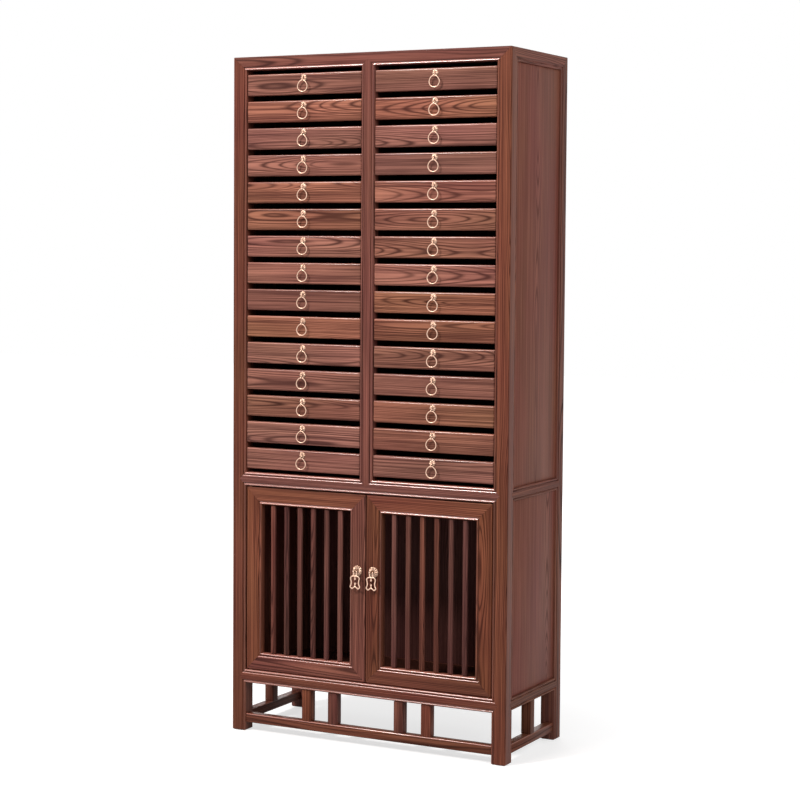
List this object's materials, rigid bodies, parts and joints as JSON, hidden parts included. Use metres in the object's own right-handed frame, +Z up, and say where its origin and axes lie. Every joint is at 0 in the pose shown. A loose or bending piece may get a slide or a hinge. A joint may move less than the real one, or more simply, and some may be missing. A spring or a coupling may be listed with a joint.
{
  "type": "tea storage cabinet",
  "caption": "Tall wooden tea cabinet: two columns of shallow ring-pull drawers over a compartment with slatted double doors, on an open base of short struts.",
  "frame": {"origin": "centre of the footprint on the floor, door pulls included", "axes": "+Z up, +X to the right seen from the front, the front faces -Y"},
  "size_m": [0.81, 0.362, 1.8],
  "materials": {
    "frame_wood": "satin oiled hardwood",
    "drawer_wood": "satin oiled hardwood, figured",
    "panel_wood": "satin oiled hardwood",
    "inner_wood": "plain sanded wood",
    "brass": "worn satin brass"
  },
  "bodies": {
    "carcass": {"front_posts": "frame_wood", "rear_posts": "frame_wood", "front_top_rail": "frame_wood", "side_top_rails": "frame_wood", "front_middle_rail": "frame_wood", "side_middle_rails": "frame_wood", "front_bottom_rail": "frame_wood", "side_bottom_rails": "frame_wood", "rear_rails": "frame_wood", "base_stretchers": "frame_wood", "base_struts": "frame_wood", "centre_mullion": "frame_wood", "centre_partition": "inner_wood", "upper_side_panels": "panel_wood", "lower_side_panels": "panel_wood", "back_panels": "panel_wood", "top_panel": "panel_wood", "inner_boards": "inner_wood", "drawer_runners": "inner_wood", "door_catches": "inner_wood"},
    "drawer_left_01": {"drawer_left_01": "drawer_wood"},
    "drawer_left_02": {"drawer_left_02": "drawer_wood"},
    "drawer_left_03": {"drawer_left_03": "drawer_wood"},
    "drawer_left_04": {"drawer_left_04": "drawer_wood"},
    "drawer_left_05": {"drawer_left_05": "drawer_wood"},
    "drawer_left_06": {"drawer_left_06": "drawer_wood"},
    "drawer_left_07": {"drawer_left_07": "drawer_wood"},
    "drawer_left_08": {"drawer_left_08": "drawer_wood"},
    "drawer_left_09": {"drawer_left_09": "drawer_wood"},
    "drawer_left_10": {"drawer_left_10": "drawer_wood"},
    "drawer_left_11": {"drawer_left_11": "drawer_wood"},
    "drawer_left_12": {"drawer_left_12": "drawer_wood"},
    "drawer_left_13": {"drawer_left_13": "drawer_wood"},
    "drawer_left_14": {"drawer_left_14": "drawer_wood"},
    "drawer_left_15": {"drawer_left_15": "drawer_wood"},
    "drawer_right_01": {"drawer_right_01": "drawer_wood"},
    "drawer_right_02": {"drawer_right_02": "drawer_wood"},
    "drawer_right_03": {"drawer_right_03": "drawer_wood"},
    "drawer_right_04": {"drawer_right_04": "drawer_wood"},
    "drawer_right_05": {"drawer_right_05": "drawer_wood"},
    "drawer_right_06": {"drawer_right_06": "drawer_wood"},
    "drawer_right_07": {"drawer_right_07": "drawer_wood"},
    "drawer_right_08": {"drawer_right_08": "drawer_wood"},
    "drawer_right_09": {"drawer_right_09": "drawer_wood"},
    "drawer_right_10": {"drawer_right_10": "drawer_wood"},
    "drawer_right_11": {"drawer_right_11": "drawer_wood"},
    "drawer_right_12": {"drawer_right_12": "drawer_wood"},
    "drawer_right_13": {"drawer_right_13": "drawer_wood"},
    "drawer_right_14": {"drawer_right_14": "drawer_wood"},
    "drawer_right_15": {"drawer_right_15": "drawer_wood"},
    "left_door": {"left_door_frame": "frame_wood", "left_door_slats": "frame_wood", "left_door_pivots": "brass", "left_pull_plate": "brass"},
    "left_pendant": {"left_pull_pendant": "brass"},
    "right_door": {"right_door_frame": "frame_wood", "right_door_slats": "frame_wood", "right_door_pivots": "brass", "right_pull_plate": "brass"},
    "right_pendant": {"right_pull_pendant": "brass"}
  },
  "joints": [
    {"name": "drawer_left_01_slide", "type": "slide", "parent": "carcass", "child": "drawer_left_01", "axis": [0, -1, 0], "range_m": [0, 0.24]},
    {"name": "drawer_left_02_slide", "type": "slide", "parent": "carcass", "child": "drawer_left_02", "axis": [0, -1, 0], "range_m": [0, 0.24]},
    {"name": "drawer_left_03_slide", "type": "slide", "parent": "carcass", "child": "drawer_left_03", "axis": [0, -1, 0], "range_m": [0, 0.24]},
    {"name": "drawer_left_04_slide", "type": "slide", "parent": "carcass", "child": "drawer_left_04", "axis": [0, -1, 0], "range_m": [0, 0.24]},
    {"name": "drawer_left_05_slide", "type": "slide", "parent": "carcass", "child": "drawer_left_05", "axis": [0, -1, 0], "range_m": [0, 0.24]},
    {"name": "drawer_left_06_slide", "type": "slide", "parent": "carcass", "child": "drawer_left_06", "axis": [0, -1, 0], "range_m": [0, 0.24]},
    {"name": "drawer_left_07_slide", "type": "slide", "parent": "carcass", "child": "drawer_left_07", "axis": [0, -1, 0], "range_m": [0, 0.24]},
    {"name": "drawer_left_08_slide", "type": "slide", "parent": "carcass", "child": "drawer_left_08", "axis": [0, -1, 0], "range_m": [0, 0.24]},
    {"name": "drawer_left_09_slide", "type": "slide", "parent": "carcass", "child": "drawer_left_09", "axis": [0, -1, 0], "range_m": [0, 0.24]},
    {"name": "drawer_left_10_slide", "type": "slide", "parent": "carcass", "child": "drawer_left_10", "axis": [0, -1, 0], "range_m": [0, 0.24]},
    {"name": "drawer_left_11_slide", "type": "slide", "parent": "carcass", "child": "drawer_left_11", "axis": [0, -1, 0], "range_m": [0, 0.24]},
    {"name": "drawer_left_12_slide", "type": "slide", "parent": "carcass", "child": "drawer_left_12", "axis": [0, -1, 0], "range_m": [0, 0.24]},
    {"name": "drawer_left_13_slide", "type": "slide", "parent": "carcass", "child": "drawer_left_13", "axis": [0, -1, 0], "range_m": [0, 0.24]},
    {"name": "drawer_left_14_slide", "type": "slide", "parent": "carcass", "child": "drawer_left_14", "axis": [0, -1, 0], "range_m": [0, 0.24]},
    {"name": "drawer_left_15_slide", "type": "slide", "parent": "carcass", "child": "drawer_left_15", "axis": [0, -1, 0], "range_m": [0, 0.24]},
    {"name": "drawer_right_01_slide", "type": "slide", "parent": "carcass", "child": "drawer_right_01", "axis": [0, -1, 0], "range_m": [0, 0.24]},
    {"name": "drawer_right_02_slide", "type": "slide", "parent": "carcass", "child": "drawer_right_02", "axis": [0, -1, 0], "range_m": [0, 0.24]},
    {"name": "drawer_right_03_slide", "type": "slide", "parent": "carcass", "child": "drawer_right_03", "axis": [0, -1, 0], "range_m": [0, 0.24]},
    {"name": "drawer_right_04_slide", "type": "slide", "parent": "carcass", "child": "drawer_right_04", "axis": [0, -1, 0], "range_m": [0, 0.24]},
    {"name": "drawer_right_05_slide", "type": "slide", "parent": "carcass", "child": "drawer_right_05", "axis": [0, -1, 0], "range_m": [0, 0.24]},
    {"name": "drawer_right_06_slide", "type": "slide", "parent": "carcass", "child": "drawer_right_06", "axis": [0, -1, 0], "range_m": [0, 0.24]},
    {"name": "drawer_right_07_slide", "type": "slide", "parent": "carcass", "child": "drawer_right_07", "axis": [0, -1, 0], "range_m": [0, 0.24]},
    {"name": "drawer_right_08_slide", "type": "slide", "parent": "carcass", "child": "drawer_right_08", "axis": [0, -1, 0], "range_m": [0, 0.24]},
    {"name": "drawer_right_09_slide", "type": "slide", "parent": "carcass", "child": "drawer_right_09", "axis": [0, -1, 0], "range_m": [0, 0.24]},
    {"name": "drawer_right_10_slide", "type": "slide", "parent": "carcass", "child": "drawer_right_10", "axis": [0, -1, 0], "range_m": [0, 0.24]},
    {"name": "drawer_right_11_slide", "type": "slide", "parent": "carcass", "child": "drawer_right_11", "axis": [0, -1, 0], "range_m": [0, 0.24]},
    {"name": "drawer_right_12_slide", "type": "slide", "parent": "carcass", "child": "drawer_right_12", "axis": [0, -1, 0], "range_m": [0, 0.24]},
    {"name": "drawer_right_13_slide", "type": "slide", "parent": "carcass", "child": "drawer_right_13", "axis": [0, -1, 0], "range_m": [0, 0.24]},
    {"name": "drawer_right_14_slide", "type": "slide", "parent": "carcass", "child": "drawer_right_14", "axis": [0, -1, 0], "range_m": [0, 0.24]},
    {"name": "drawer_right_15_slide", "type": "slide", "parent": "carcass", "child": "drawer_right_15", "axis": [0, -1, 0], "range_m": [0, 0.24]},
    {"name": "left_door_hinge", "type": "hinge", "parent": "carcass", "child": "left_door", "pos_m": [-0.3525, -0.159, 0.415], "axis": [0, 0, -1], "range_deg": [0, 105]},
    {"name": "left_pendant_swing", "type": "hinge", "parent": "left_door", "child": "left_pendant", "pos_m": [-0.02375, -0.1782, 0.461], "axis": [-1, 0, 0], "range_deg": [-10, 85]},
    {"name": "right_door_hinge", "type": "hinge", "parent": "carcass", "child": "right_door", "pos_m": [0.3525, -0.159, 0.415], "axis": [0, 0, 1], "range_deg": [0, 105]},
    {"name": "right_pendant_swing", "type": "hinge", "parent": "right_door", "child": "right_pendant", "pos_m": [0.02375, -0.1782, 0.461], "axis": [-1, 0, 0], "range_deg": [-10, 85]}
  ]
}
